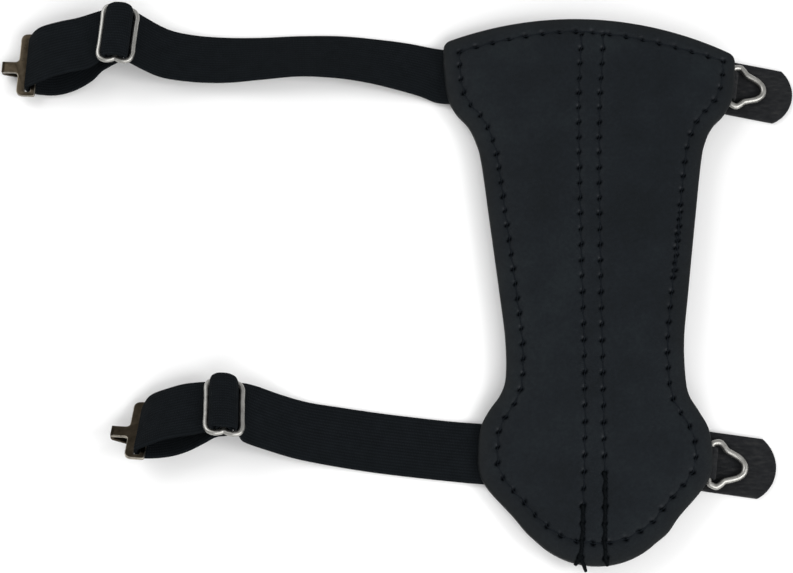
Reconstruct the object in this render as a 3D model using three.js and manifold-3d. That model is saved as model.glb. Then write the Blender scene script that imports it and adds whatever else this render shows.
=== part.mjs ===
// An archery arm guard laid on a flat surface: a waisted leather panel, two elastic straps with wire
// sliders and steel hooks on its left, and two wire eyes over leather tabs on its right.
// Millimetres, +Z up. X runs across the panel, Y along it towards its wide end, and the surface is z = 0.
import * as THREE from "three";
import { mergeVertices } from "three/addons/utils/BufferGeometryUtils.js";
import Module from "manifold-3d";

const wasm = await Module();
wasm.setup();

// Driving dimensions
const SEAT_GAP = 0.3;
const WIRE_GAP = 0.2;
const SURFACE_GAP = 0.1; // least height of a strap above the surface

const PANEL_THICKNESS = 2.6;
const PANEL_ARCH = 0.00183; // curvature of the panel across its width
const PANEL_GRID = { columns: 18, rows: 16 };
const TOP_ARC = { radius: 128, centreX: -5.5, crownY: 89.2, steps: 14 };
const TOP_CORNER = { half: 47.3, round: 1.6, steps: 4 };
const TIP_ARC = { radius: 25.3, endY: -91.7, steps: 12 };
const SIDE_STEPS = 44;

// Half width of the panel down its length.
const PANEL_SIDE = [
  { y: 75, half: 47.2 },
  { y: 64, half: 46.4 },
  { y: 57.5, half: 43.8 },
  { y: 52.5, half: 39.7 },
  { y: 47, half: 36.9 },
  { y: 40, half: 35 },
  { y: 20, half: 32.4 },
  { y: -5, half: 29.2 },
  { y: -20, half: 27.4 },
  { y: -32, half: 27.2 },
  { y: -38, half: 28.8 },
  { y: -43, half: 31.9 },
  { y: -48, half: 34.5 },
  { y: -54, half: 35.5 },
  { y: -62, half: 35.2 },
  { y: -68, half: 32.1 },
  { y: -76, half: 25.2 },
];

// The panel's underside where its straps and tabs are sewn: edge heights above the surface.
const UPPER_LINE = { y: 70, half: 46.8, leftHeight: 3, rightHeight: 6.2 };
const LOWER_LINE = { y: -56, half: 35.5, leftHeight: 2.3, rightHeight: 6.2 };

const STRAP = {
  width: 19,
  thickness: 1.3,
  gathered: 17,
  swell: 1.7,
  folded: 16.6,
  sewnLength: 14,
  sewnSteps: 4,
  stepsPerRow: 3,
};

// The parts of its course where a strap touches metal, as angles round each bar and steps between them.
const WRAP = {
  ontoSlider: { from: 290, steps: 3 },
  overMiddle: { steps: 6 },
  offSlider: { to: 265, steps: 3 },
  hook: { from: 75, to: 285, steps: 7 },
  sewnFold: { from: 310, to: 550, steps: 8 },
};
const SLIDER = { barSpacing: 10.9, wire: 1.5, gap: 0.4, sides: 6, steps: 40 };
const HOOK = {
  thickness: 1,
  halfLength: 11.3,
  rearHalf: 0.8,
  slotHalf: 10.1,
  slotFront: 2.9,
  front: 5.3,
  frontRound: 2.4,
  rootRound: 1.4,
  tongueWidth: 4,
  tongueOffset: -1,
  tip: 10.8,
  lipWidth: 3.4,
  curveSteps: 4,
};
const EYE = { wire: 1.8, reach: 10.9, sides: 6, steps: 44 };
const KEEPER = { width: 10, thickness: 0.9, sewnLength: 8, wrap: 95, wrapSteps: 8, sag: 0.45, stepsPerRow: 2 };
const TAB = {
  width: 19,
  thickness: 1.5,
  straight: 15.8,
  endRadius: 11.6,
  sewnLength: 9.5,
  seatGap: 0.5,
  flatFrom: 2,
  endSteps: 10,
  grid: { columns: 21, rows: 1 },
};

// A quarter of the slider's wire, from the notch at the middle bar's end round to the side bar.
const SLIDER_QUARTER = [
  { x: 0, y: 9.4 },
  { x: 1.3, y: 10.1 },
  { x: 2.9, y: 10.4 },
  { x: 4.7, y: 9.6 },
  { x: 5.45, y: 7.8 },
  { x: 5.45, y: 3.5 },
];

// Half of the eye's wire, from its straight bar out to its tip.
const EYE_HALF = [
  { out: 0, side: 0 },
  { out: 0, side: 3.5 },
  { out: 0.15, side: 6.2 },
  { out: 1.3, side: 7.05 },
  { out: 2.6, side: 7.2 },
  { out: 3.8, side: 6.2 },
  { out: 4.9, side: 5.0 },
  { out: 7.0, side: 4.15 },
  { out: 9.0, side: 3.2 },
  { out: 10.45, side: 1.7 },
  { out: EYE.reach, side: 0 },
];

// The lip folded back under the hook's tongue, as a side profile: distance forward and height.
const LIP_PROFILE = [
  { forward: HOOK.tip, height: 0.5 },
  { forward: HOOK.tip, height: -1.3 },
  { forward: 10.4, height: -1.9 },
  { forward: 6.0, height: -3.1 },
  { forward: 6.0, height: -2.3 },
  { forward: 9.9, height: -1.25 },
  { forward: 9.9, height: 0.5 },
];

// Where each strap goes. A row gives the middle of the strap, the height of its lowest edge above the
// surface, and its roll in degrees about its own length, with the edge nearer the tip raised.
const UPPER_STRAP = {
  edge: { x: -48, y: 72.1, yaw: -11 },
  slider: { x: -154.2, y: 79.6, z: 13, yaw: 0, roll: 0 },
  hook: { x: -181.9, y: 72.5, z: 3.75, yaw: 5.5, roll: 0 },
  toSlider: [
    { x: -53, y: 73.4, lift: 0.1, roll: 7 },
    { x: -61, y: 75, lift: 0, roll: 12.5 },
    { x: -71, y: 76.4, lift: 0, roll: 18.5 },
    { x: -82, y: 77.4, lift: 0, roll: 21.5 },
    { x: -95, y: 77.3, lift: 0, roll: 24 },
    { x: -108, y: 76.3, lift: 0, roll: 22.5 },
    { x: -120, y: 75.7, lift: 0.2, roll: 17.5 },
    { x: -131, y: 75.9, lift: 1.5, roll: 13 },
    { x: -140, y: 76.8, lift: 4.5, roll: 7 },
  ],
  toHook: [
    { x: -165.5, y: 77.1, lift: 11.2, roll: 0 },
    { x: -172, y: 75.1, lift: 10.2, roll: 0 },
    { x: -178, y: 73.8, lift: 7.4, roll: 0 },
  ],
  back: [
    { x: -177.5, y: 72.2, lift: 0.5, roll: 0 },
    { x: -172.5, y: 73.4, lift: 0.2, roll: 2 },
    { x: -168, y: 75.8, lift: 0.2, roll: 6 },
    { x: -164, y: 78.4, lift: 1.8, roll: 8 },
    { x: -160, y: 79.4, lift: 5.4, roll: 4 },
  ],
};
const LOWER_STRAP = {
  edge: { x: -34.9, y: -56, yaw: -5 },
  slider: { x: -113.2, y: -46, z: 12, yaw: 3, roll: 20 },
  hook: { x: -136.8, y: -51.4, z: 6, yaw: 6.5, roll: 21 },
  toSlider: [
    { x: -44, y: -55.2, lift: 0, roll: 0 },
    { x: -56, y: -54.1, lift: 0, roll: 0 },
    { x: -68, y: -52.8, lift: 0, roll: 0 },
    { x: -80, y: -51.2, lift: 0, roll: 2 },
    { x: -90, y: -49.8, lift: 0.4, roll: 6 },
    { x: -98.5, y: -48.2, lift: 3, roll: 8 },
  ],
  toHook: [
    { x: -123, y: -46.5, lift: 7.2, roll: 21 },
    { x: -129, y: -47.8, lift: 6.6, roll: 21 },
    { x: -133.5, y: -49.2, lift: 4.8, roll: 21 },
  ],
  back: [
    { x: -132, y: -52, lift: 0.1, roll: 21 },
    { x: -127, y: -50.3, lift: 0, roll: 21 },
    { x: -122.5, y: -48.3, lift: 1.4, roll: 21 },
    { x: -118.5, y: -46.8, lift: 4.2, roll: 20 },
  ],
};

// Where each tab and its eye leave the panel's right edge.
const UPPER_TAB = { x: 46.8, y: 70.1, yaw: -11, eye: { x: 46.8, y: 70.1, yaw: -8 } };
const LOWER_TAB = { x: 35.5, y: -56.9, yaw: -7, eye: { x: 35.5, y: -57.7, yaw: -7 } };

const LEATHER = { color: 0x202427, roughness: 0.62, metalness: 0 };
const SUEDE = { color: 0x26282c, roughness: 0.9, metalness: 0 };
const ELASTIC = { color: 0x16191c, roughness: 0.95, metalness: 0 };
const NICKEL = { color: 0xb4b6ae, roughness: 0.25, metalness: 1 };
const STEEL = { color: 0x5a5144, roughness: 0.35, metalness: 1 };

const rad = THREE.MathUtils.degToRad;
const lerp = THREE.MathUtils.lerp;

// Solids and meshes

function toSolid(geometry) {
  const bare = geometry.clone();
  bare.deleteAttribute("normal");
  bare.deleteAttribute("uv");
  const merged = mergeVertices(bare, 1e-4);
  return new wasm.Manifold(
    new wasm.Mesh({
      numProp: 3,
      vertProperties: merged.attributes.position.array,
      triVerts: new Uint32Array(merged.index.array),
    }),
  );
}

function toGeometry(solid) {
  const mesh = solid.getMesh();
  const geometry = new THREE.BufferGeometry();
  geometry.setAttribute("position", new THREE.BufferAttribute(mesh.vertProperties, mesh.numProp));
  geometry.setIndex(new THREE.BufferAttribute(mesh.triVerts, 1));
  geometry.computeVertexNormals();
  return geometry;
}

function indexedGeometry(vertices, triangles) {
  const geometry = new THREE.BufferGeometry().setFromPoints(vertices);
  geometry.setIndex(triangles);
  geometry.computeVertexNormals();
  return geometry;
}

function piece(name, geometry, look) {
  const mesh = new THREE.Mesh(geometry, new THREE.MeshStandardMaterial(look));
  mesh.name = name;
  return mesh;
}

// Skins a row of rings, each listed counter-clockwise about the direction of travel.
function sweep(rings, closed) {
  const sides = rings[0].length;
  const vertices = rings.flat();
  const triangles = [];
  const spans = closed ? rings.length : rings.length - 1;
  for (let i = 0; i < spans; i++) {
    const near = i * sides;
    const far = ((i + 1) % rings.length) * sides;
    for (let j = 0; j < sides; j++) {
      const next = (j + 1) % sides;
      triangles.push(near + j, near + next, far + j);
      triangles.push(near + next, far + next, far + j);
    }
  }
  if (!closed) {
    const last = (rings.length - 1) * sides;
    for (let j = 1; j < sides - 1; j++) {
      triangles.push(0, j + 1, j);
      triangles.push(last, last + j, last + j + 1);
    }
  }
  return indexedGeometry(vertices, triangles);
}

// A round wire along a closed plan outline in the plane z = 0.
function wireLoop(outline, diameter, sides, steps) {
  const curve = new THREE.CatmullRomCurve3(outline, true, "centripetal");
  const up = new THREE.Vector3(0, 0, 1);
  const rings = [];
  for (let i = 0; i < steps; i++) {
    const centre = curve.getPointAt(i / steps);
    const across = new THREE.Vector3().crossVectors(up, curve.getTangentAt(i / steps)).normalize();
    const ring = [];
    for (let j = 0; j < sides; j++) {
      const angle = (2 * Math.PI * j) / sides;
      const point = centre.clone().addScaledVector(across, (diameter / 2) * Math.cos(angle));
      ring.push(point.addScaledVector(up, (diameter / 2) * Math.sin(angle)));
    }
    rings.push(ring);
  }
  return sweep(rings, true);
}

// A flat band through stations, each with its middle, the direction of its width, and its width.
function ribbon(stations, thickness, stepsPerRow) {
  const path = new THREE.CatmullRomCurve3(stations.map((s) => s.middle), false, "centripetal");
  const lean = new THREE.CatmullRomCurve3(stations.map((s) => s.across), false, "catmullrom");
  const rows = stations.length - 1;
  const steps = rows * stepsPerRow;
  const rings = [];
  for (let i = 0; i <= steps; i++) {
    const t = i / steps;
    const row = Math.min(Math.floor(t * rows), rows - 1);
    const half = lerp(stations[row].width, stations[row + 1].width, t * rows - row) / 2;
    const along = path.getTangent(t);
    const across = lean.getPoint(t);
    across.addScaledVector(along, -across.dot(along)).normalize();
    const face = new THREE.Vector3().crossVectors(along, across);
    const corner = (s, u) =>
      path.getPoint(t).addScaledVector(across, s * half).addScaledVector(face, (u * thickness) / 2);
    rings.push([corner(-1, -1), corner(1, -1), corner(1, 1), corner(-1, 1)]);
  }
  return sweep(rings, false);
}

// A sheet of even thickness over a height function, cut to a plan outline.
function cutSheet(outline, underside, thickness, grid) {
  const box = new THREE.Box2().setFromPoints(outline).expandByScalar(1);
  const { columns, rows } = grid;
  const vertices = [];
  for (const rise of [0, thickness]) {
    for (let j = 0; j <= rows; j++) {
      for (let i = 0; i <= columns; i++) {
        const x = lerp(box.min.x, box.max.x, i / columns);
        const y = lerp(box.min.y, box.max.y, j / rows);
        vertices.push(new THREE.Vector3(x, y, underside(x, y) + rise));
      }
    }
  }
  const layer = (columns + 1) * (rows + 1);
  const at = (i, j) => j * (columns + 1) + i;
  const triangles = [];
  const wall = (a, b) => triangles.push(a, b, b + layer, a, b + layer, a + layer);
  for (let j = 0; j < rows; j++) {
    for (let i = 0; i < columns; i++) {
      const [a, b, c, d] = [at(i, j), at(i + 1, j), at(i + 1, j + 1), at(i, j + 1)];
      triangles.push(a, c, b, a, d, c);
      triangles.push(a + layer, b + layer, c + layer, a + layer, c + layer, d + layer);
    }
  }
  for (let i = 0; i < columns; i++) {
    wall(at(i, 0), at(i + 1, 0));
    wall(at(i + 1, rows), at(i, rows));
  }
  for (let j = 0; j < rows; j++) {
    wall(at(columns, j), at(columns, j + 1));
    wall(at(0, j + 1), at(0, j));
  }
  const reach = 40;
  const die = new THREE.ExtrudeGeometry(new THREE.Shape(outline), { depth: 2 * reach, bevelEnabled: false });
  die.translate(0, 0, -reach);
  return toGeometry(toSolid(indexedGeometry(vertices, triangles)).intersect(toSolid(die)));
}

function arcPoints(centreX, centreY, radius, fromDegrees, toDegrees, steps) {
  return Array.from({ length: steps + 1 }, (_, i) => {
    const angle = rad(lerp(fromDegrees, toDegrees, i / steps));
    return new THREE.Vector2(centreX + radius * Math.cos(angle), centreY + radius * Math.sin(angle));
  });
}

// Leather panel

function undersideHeight(x, y) {
  const t = (y - LOWER_LINE.y) / (UPPER_LINE.y - LOWER_LINE.y);
  const half = lerp(LOWER_LINE.half, UPPER_LINE.half, t);
  const left = lerp(LOWER_LINE.leftHeight, UPPER_LINE.leftHeight, t);
  const right = lerp(LOWER_LINE.rightHeight, UPPER_LINE.rightHeight, t);
  const chord = lerp(left, right, (x + half) / (2 * half));
  return chord + PANEL_ARCH * (half * half - x * x);
}

function topEdgeY(x) {
  const drop = Math.sqrt(TOP_ARC.radius ** 2 - (x - TOP_ARC.centreX) ** 2);
  return TOP_ARC.crownY - TOP_ARC.radius + drop;
}

// The top edge and its two rounded corners, from left to right.
function topEdge() {
  const reach = TOP_CORNER.half - TOP_CORNER.round;
  const corner = (side) =>
    new THREE.QuadraticBezierCurve(
      new THREE.Vector2(side * TOP_CORNER.half, topEdgeY(side * TOP_CORNER.half) - TOP_CORNER.round),
      new THREE.Vector2(side * TOP_CORNER.half, topEdgeY(side * TOP_CORNER.half)),
      new THREE.Vector2(side * reach, topEdgeY(side * reach)),
    ).getPoints(TOP_CORNER.steps);
  const middle = [];
  for (let i = 1; i < TOP_ARC.steps; i++) {
    const x = lerp(-reach, reach, i / TOP_ARC.steps);
    middle.push(new THREE.Vector2(x, topEdgeY(x)));
  }
  return [...corner(-1), ...middle, ...corner(1).reverse()];
}

function panelOutline() {
  const tipAngle = 40;
  const tipCentreY = TIP_ARC.endY + TIP_ARC.radius;
  const tip = arcPoints(0, tipCentreY, TIP_ARC.radius, -tipAngle, tipAngle - 180, TIP_ARC.steps);
  const right = PANEL_SIDE.map((row) => new THREE.Vector2(row.half, row.y));
  const side = new THREE.SplineCurve([...right, tip[0]]).getPoints(SIDE_STEPS).slice(0, -1);
  const mirrored = side.map((p) => new THREE.Vector2(-p.x, p.y)).reverse();
  return [...topEdge(), ...side, ...tip, ...mirrored].reverse();
}

// Straps and their hardware

// The frame of a slider or hook: its X runs back along the strap to the panel, its Y across the strap.
function hardwareFrame(place) {
  const frame = new THREE.Object3D();
  frame.position.set(place.x, place.y, place.z);
  frame.rotation.set(rad(-place.roll), 0, rad(place.yaw), "ZYX");
  frame.updateMatrix();
  return frame;
}

function place(mesh, frame) {
  mesh.position.copy(frame.position);
  mesh.rotation.copy(frame.rotation);
  return mesh;
}

// Stations of a strap round a bar, as an arc in the hardware's own frame. The strap can swell past its
// far edge towards the middle of the arc.
function bend(frame, centreX, radius, fromDegrees, toDegrees, steps, width, swell = 0) {
  const across = new THREE.Vector3(0, 1, 0).applyEuler(frame.rotation);
  return arcPoints(centreX, 0, radius, fromDegrees, toDegrees, steps).map((p, i) => {
    const spread = swell * Math.sin((Math.PI * i) / steps) ** 2;
    return {
      middle: new THREE.Vector3(p.x, spread / 2, p.y).applyMatrix4(frame.matrix),
      across,
      width: width + spread,
    };
  });
}

// Stations of a strap that lies or rises freely, square to its course seen from above.
function freeRun(rows) {
  return rows.map((row, i) => {
    const before = rows[Math.max(i - 1, 0)];
    const after = rows[Math.min(i + 1, rows.length - 1)];
    const yaw = Math.atan((after.y - before.y) / (after.x - before.x));
    const roll = rad(row.roll);
    const tilted = (STRAP.width / 2) * Math.sin(roll) + (STRAP.thickness / 2) * Math.cos(roll);
    return {
      middle: new THREE.Vector3(row.x, row.y, SURFACE_GAP + row.lift + tilted),
      across: new THREE.Vector3(0, 1, 0).applyEuler(new THREE.Euler(-roll, 0, yaw, "ZYX")),
      width: STRAP.width,
    };
  });
}

// Stations of the end sewn flat against the panel's underside.
function sewnRun(edge) {
  const steps = STRAP.sewnSteps;
  const along = new THREE.Vector2(1, 0).rotateAround(new THREE.Vector2(), rad(edge.yaw));
  const square = new THREE.Vector2(-along.y, along.x).multiplyScalar(STRAP.width / 2);
  const seat = (p) => new THREE.Vector3(p.x, p.y, undersideHeight(p.x, p.y) - SEAT_GAP - STRAP.thickness / 2);
  return Array.from({ length: steps }, (_, i) => {
    const inward = STRAP.sewnLength * (1 - i / (steps - 1));
    const spot = new THREE.Vector2(edge.x, edge.y).addScaledVector(along, inward);
    const far = seat(spot.clone().add(square));
    const near = seat(spot.clone().sub(square));
    return {
      middle: far.clone().lerp(near, 0.5),
      across: far.sub(near).normalize(),
      width: STRAP.width,
    };
  });
}

function strap(name, route) {
  const slider = hardwareFrame(route.slider);
  const hook = hardwareFrame(route.hook);
  const { ontoSlider, overMiddle, offSlider, sewnFold } = WRAP;
  const half = STRAP.thickness / 2;
  const underBar = SLIDER.wire / 2 + SLIDER.gap + half;
  const overFold = underBar + half + SEAT_GAP + half;
  const bar = SLIDER.barSpacing / 2;
  const rise = THREE.MathUtils.radToDeg(Math.acos((underBar + overFold) / bar));
  const rearBar = Math.hypot(HOOK.rearHalf, HOOK.thickness / 2) + SEAT_GAP + half;
  const stations = [
    ...sewnRun(route.edge),
    ...freeRun(route.toSlider),
    ...bend(slider, bar, underBar, ontoSlider.from, 180 + rise, ontoSlider.steps, STRAP.gathered),
    ...bend(slider, 0, overFold, rise, 180 - rise, overMiddle.steps, STRAP.gathered, STRAP.swell),
    ...bend(slider, -bar, underBar, 360 - rise, offSlider.to, offSlider.steps, STRAP.gathered),
    ...freeRun(route.toHook),
    ...bend(hook, 0, rearBar, WRAP.hook.from, WRAP.hook.to, WRAP.hook.steps, STRAP.width),
    ...freeRun(route.back),
    ...bend(slider, 0, underBar, sewnFold.from, sewnFold.to, sewnFold.steps, STRAP.folded),
  ];
  return piece(name, ribbon(stations, STRAP.thickness, STRAP.stepsPerRow), ELASTIC);
}

function slider(name, route) {
  const upperHalf = [
    ...SLIDER_QUARTER.map((p) => ({ x: -p.x, y: p.y })).reverse(),
    ...SLIDER_QUARTER.slice(1),
  ];
  const outline = [...upperHalf, ...upperHalf.map((p) => ({ x: -p.x, y: -p.y }))];
  const loop = outline.map((p) => new THREE.Vector3(p.x, p.y, 0)).reverse();
  const frame = toSolid(wireLoop(loop, SLIDER.wire, SLIDER.sides, SLIDER.steps));
  const barLength = 2 * SLIDER_QUARTER[0].y;
  const bar = toSolid(new THREE.CylinderGeometry(SLIDER.wire / 2, SLIDER.wire / 2, barLength, SLIDER.sides));
  return place(piece(name, toGeometry(frame.add(bar)), NICKEL), hardwareFrame(route.slider));
}

// The hook's plate, seen from above: a slotted bar with a tongue at its front.
function hookPlate() {
  const { front, frontRound, rootRound, halfLength, rearHalf, tip, tongueOffset, tongueWidth } = HOOK;
  const low = tongueOffset - tongueWidth / 2;
  const high = tongueOffset + tongueWidth / 2;
  const shape = new THREE.Shape();
  shape.moveTo(rearHalf, -halfLength);
  shape.lineTo(rearHalf, halfLength);
  shape.lineTo(frontRound - front, halfLength);
  shape.quadraticCurveTo(-front, halfLength, -front, halfLength - frontRound);
  shape.lineTo(-front, high + rootRound);
  shape.quadraticCurveTo(-front, high, -front - rootRound, high);
  shape.lineTo(-tip, high);
  shape.lineTo(-tip, low);
  shape.lineTo(-front - rootRound, low);
  shape.quadraticCurveTo(-front, low, -front, low - rootRound);
  shape.lineTo(-front, frontRound - halfLength);
  shape.quadraticCurveTo(-front, -halfLength, frontRound - front, -halfLength);
  shape.closePath();
  const slot = new THREE.Path();
  slot.moveTo(-HOOK.slotFront, -HOOK.slotHalf);
  slot.lineTo(-HOOK.slotFront, HOOK.slotHalf);
  slot.lineTo(-rearHalf, HOOK.slotHalf);
  slot.lineTo(-rearHalf, -HOOK.slotHalf);
  slot.closePath();
  shape.holes.push(slot);
  const flat = { depth: HOOK.thickness, bevelEnabled: false, curveSegments: HOOK.curveSteps };
  return new THREE.ExtrudeGeometry(shape, flat).translate(0, 0, -HOOK.thickness / 2);
}

function hookLip() {
  const profile = new THREE.Shape(LIP_PROFILE.map((p) => new THREE.Vector2(-p.forward, p.height)));
  const lip = new THREE.ExtrudeGeometry(profile, { depth: HOOK.lipWidth, bevelEnabled: false });
  lip.rotateX(Math.PI / 2);
  return lip.translate(0, HOOK.tongueOffset + HOOK.lipWidth / 2, 0);
}

function hook(name, route) {
  const solid = toSolid(hookPlate()).add(toSolid(hookLip()));
  return place(piece(name, toGeometry(solid), STEEL), hardwareFrame(route.hook));
}

// Tabs, eyes and keepers

// Height of the panel's underside at a distance out from the edge along a tab or an eye.
function heightAlong(line, out) {
  return undersideHeight(line.x + out * Math.cos(rad(line.yaw)), line.y + out * Math.sin(rad(line.yaw)));
}

function eyeBarHeight(line) {
  return heightAlong(line, 0) - SEAT_GAP - KEEPER.thickness - WIRE_GAP - EYE.wire / 2;
}

// Depth below the panel of the middle of the keeper's lower layer at its sewn end.
const KEEPER_LOWER_DEPTH = 2 * SEAT_GAP + 1.5 * KEEPER.thickness;

function onLine(mesh, line) {
  mesh.position.set(line.x, line.y, 0);
  mesh.rotation.z = rad(line.yaw);
  return mesh;
}

function eye(name, line) {
  const half = EYE_HALF.slice(1, -1).map((p) => new THREE.Vector3(p.out, p.side, 0));
  const other = half.map((p) => new THREE.Vector3(p.x, -p.y, 0)).reverse();
  const ends = [EYE_HALF[0], EYE_HALF.at(-1)].map((p) => new THREE.Vector3(p.out, p.side, 0));
  const outline = [ends[0], ...half, ends[1], ...other].reverse();
  const mesh = piece(name, wireLoop(outline, EYE.wire, EYE.sides, EYE.steps), NICKEL);
  const barHeight = eyeBarHeight(line);
  const tipHeight = TAB.thickness + SEAT_GAP + EYE.wire / 2;
  mesh.position.set(line.x, line.y, barHeight);
  mesh.rotation.set(0, Math.asin((barHeight - tipHeight) / EYE.reach), rad(line.yaw), "ZYX");
  return mesh;
}

function keeper(name, line) {
  const radius = EYE.wire / 2 + WIRE_GAP + KEEPER.thickness / 2;
  const barHeight = eyeBarHeight(line);
  const seat = (out) => heightAlong(line, out) - SEAT_GAP - KEEPER.thickness / 2;
  const sewn = -KEEPER.sewnLength;
  const lowerEnd = heightAlong(line, sewn) - KEEPER_LOWER_DEPTH;
  const path = [
    new THREE.Vector2(sewn, seat(sewn)),
    new THREE.Vector2(sewn / 2, seat(sewn / 2)),
    ...arcPoints(0, barHeight, radius, KEEPER.wrap, -KEEPER.wrap, KEEPER.wrapSteps),
    new THREE.Vector2(sewn / 2, lerp(barHeight - radius, lowerEnd, KEEPER.sag)),
    new THREE.Vector2(sewn, lowerEnd),
  ];
  const across = new THREE.Vector3(0, 1, 0);
  const stations = path.map((p) => ({
    middle: new THREE.Vector3(p.x, 0, p.y),
    across,
    width: KEEPER.width,
  }));
  return onLine(piece(name, ribbon(stations, KEEPER.thickness, KEEPER.stepsPerRow), SUEDE), line);
}

// The tab lies flat beyond the panel and bends up under it to the keeper.
function tab(name, line) {
  const half = TAB.width / 2;
  const opening = THREE.MathUtils.radToDeg(Math.asin(half / TAB.endRadius));
  const endCentre = TAB.straight - TAB.endRadius * Math.cos(rad(opening));
  const end = arcPoints(endCentre, 0, TAB.endRadius, -opening, opening, TAB.endSteps);
  const outline = [
    new THREE.Vector2(-TAB.sewnLength, half),
    new THREE.Vector2(-TAB.sewnLength, -half),
    ...end,
  ];
  const seat = heightAlong(line, -KEEPER.sewnLength) - KEEPER_LOWER_DEPTH - KEEPER.thickness / 2;
  const rise = seat - TAB.seatGap - TAB.thickness;
  const bendLength = TAB.flatFrom + KEEPER.sewnLength;
  const underside = (out) => rise * (Math.max(0, TAB.flatFrom - out) / bendLength) ** 2;
  const geometry = cutSheet(outline, underside, TAB.thickness, TAB.grid);
  return onLine(piece(name, geometry, SUEDE), line);
}

// The whole guard, set with the middle of its box over the origin.

const panel = cutSheet(panelOutline(), undersideHeight, PANEL_THICKNESS, PANEL_GRID);
const assembly = new THREE.Group();
assembly.add(piece("body_panel", panel, LEATHER));
for (const [level, route, tabLine] of [
  ["upper", UPPER_STRAP, UPPER_TAB],
  ["lower", LOWER_STRAP, LOWER_TAB],
]) {
  assembly.add(strap(`strap_${level}`, route));
  assembly.add(slider(`slider_${level}`, route));
  assembly.add(hook(`hook_${level}`, route));
  assembly.add(eye(`eye_${level}`, tabLine.eye));
  assembly.add(keeper(`eye_keeper_${level}`, tabLine.eye));
  assembly.add(tab(`tab_${level}`, tabLine));
}
const box = new THREE.Box3().setFromObject(assembly, true);
const middle = box.getCenter(new THREE.Vector3());
assembly.position.set(-middle.x, -middle.y, -box.min.z);

const armGuard = new THREE.Group();
armGuard.add(assembly);

export default armGuard;
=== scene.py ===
"""An archery arm guard on a pale surface: stitched leather, elastic straps, sliders, hooks, eyes and tabs.

Shapes are worked out in millimetres about the panel's middle, then placed in the shared frame in metres.
"""

import math

import bmesh
import bpy
import numpy as np
from mathutils import Matrix, Vector
from mathutils.geometry import delaunay_2d_cdt


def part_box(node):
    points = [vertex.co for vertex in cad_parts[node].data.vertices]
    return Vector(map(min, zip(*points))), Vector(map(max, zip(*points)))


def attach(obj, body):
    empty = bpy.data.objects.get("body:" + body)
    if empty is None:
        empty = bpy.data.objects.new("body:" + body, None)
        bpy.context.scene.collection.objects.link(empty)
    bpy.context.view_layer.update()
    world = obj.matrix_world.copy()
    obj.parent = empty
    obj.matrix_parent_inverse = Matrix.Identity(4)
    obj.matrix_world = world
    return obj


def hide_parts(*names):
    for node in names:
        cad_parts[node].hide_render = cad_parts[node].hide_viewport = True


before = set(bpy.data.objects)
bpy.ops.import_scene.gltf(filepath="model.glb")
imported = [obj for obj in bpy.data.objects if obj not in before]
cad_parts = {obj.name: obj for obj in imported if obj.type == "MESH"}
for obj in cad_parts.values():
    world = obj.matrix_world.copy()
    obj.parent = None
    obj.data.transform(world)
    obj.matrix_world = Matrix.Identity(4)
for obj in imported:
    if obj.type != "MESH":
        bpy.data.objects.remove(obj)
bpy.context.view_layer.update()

# Leather panel
THICK = 2.6
ARCH = 0.00183
SOLID = {"half": 47.3, "top": 89.2}  # half width and crown of the solid panel
TOP_ARC = {"radius": 134, "x": -5.5, "crown": 89.6}
CORNER = {"half": 47.7, "round": 2.2}
TIP = {"radius": 25.2, "end": -91.5, "angle": 46}
SIDES = [  # y, half width to the left, half width to the right
    (75, 47.7, 47.7), (64, 46.3, 46.6), (57.5, 43.4, 43.6), (52.5, 39.4, 39.4), (47, 36.9, 36.9),
    (40, 35.1, 35.3), (20, 32.4, 32.75), (-5, 29.1, 29.75), (-20, 27.3, 28.05), (-32, 27.1, 28.1),
    (-38, 28.7, 29.05), (-43, 32.1, 31.9), (-48, 34.6, 34.6), (-54, 35.4, 35.6), (-62, 35.2, 35.2),
    (-68, 32.2, 31.8), (-76, 25.1, 25), (-81, 21.1, 21.5),
]
# Height of the underside at its left and right edge, on two levels.
UPPER = {"y": 70, "half": 46.8, "left": 3, "right": 6.2}
LOWER = {"y": -56, "half": 35.5, "left": 2.3, "right": 6.2}
SWELLS = [  # x, y, reach, height: the leather over the ends sewn under it
    (-40, 71, 9, 0.5), (41, 70, 8, 0.5), (-28, -56, 9, 0.55), (29, -57, 8, 0.4), (21, -70, 14, -0.25),
    (-15, 25, 22, 0.2),
]
RELIEF = {"sunk": 0.1, "crown": 0.35, "crown_reach": 3.0, "groove": 0.22, "groove_half": 0.7}
RIM = {"top": 0.75, "bottom": 0.5, "tab": 0.55}
# The mesh's points: steps in from the edge and aside from the seams, and how close they may lie.
EDGE_STEPS = (0.1, 0.32, 0.65, 1.1, 1.9)
SEAM_STEPS = (0, -0.28, 0.28, -0.6, 0.6, -1.0, 1.0, -1.6, 1.6)
GRID_STEP = 1.8
CLOSEST = {"outline": 0.01, "edge": 0.06, "hole": 0.09, "seam": 0.22, "grid": 0.95}

# Seams
RIM_PITCH = 5.0
CENTRE_PITCH = 5.3
TOP_PITCH = 5.35
SEAM_DEPTH = 5.2
DEEPER = [  # x, y, reach, depth: where the rim's seam lies further in or out
    (0, -96, 17, 1.6), (48, 76, 12, -1.3), (-36, -56, 12, 0.7), (-5, 88, 12, -0.6),
]
DOUBLED = {"low": 0.5, "high": 26, "aside": 0.45}  # the stretch of the right side with a second row of holes
HOLE = {
    "long": 0.86, "wide": 0.49, "deep": 1.1, "below": 0.45, "turn": -52, "wander": 14, "vary": 0.15,
    "dimple": 1.2, "dip": 0.25, "spot": 0.42, "lip": 0.1,
}
HOLE_RINGS = [(0.35, 6), (0.7, 8), (1.1, 10), (1.6, 12), (2.3, 12)]  # reach, points
LIP_SIDE = (-0.3, 0.72)  # from a hole to its raised lip, where a highlight is painted
LOCKED = {2: -72, 3: -62}  # the centre seams' rows of holes, and the place from which their thread is doubled
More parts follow.
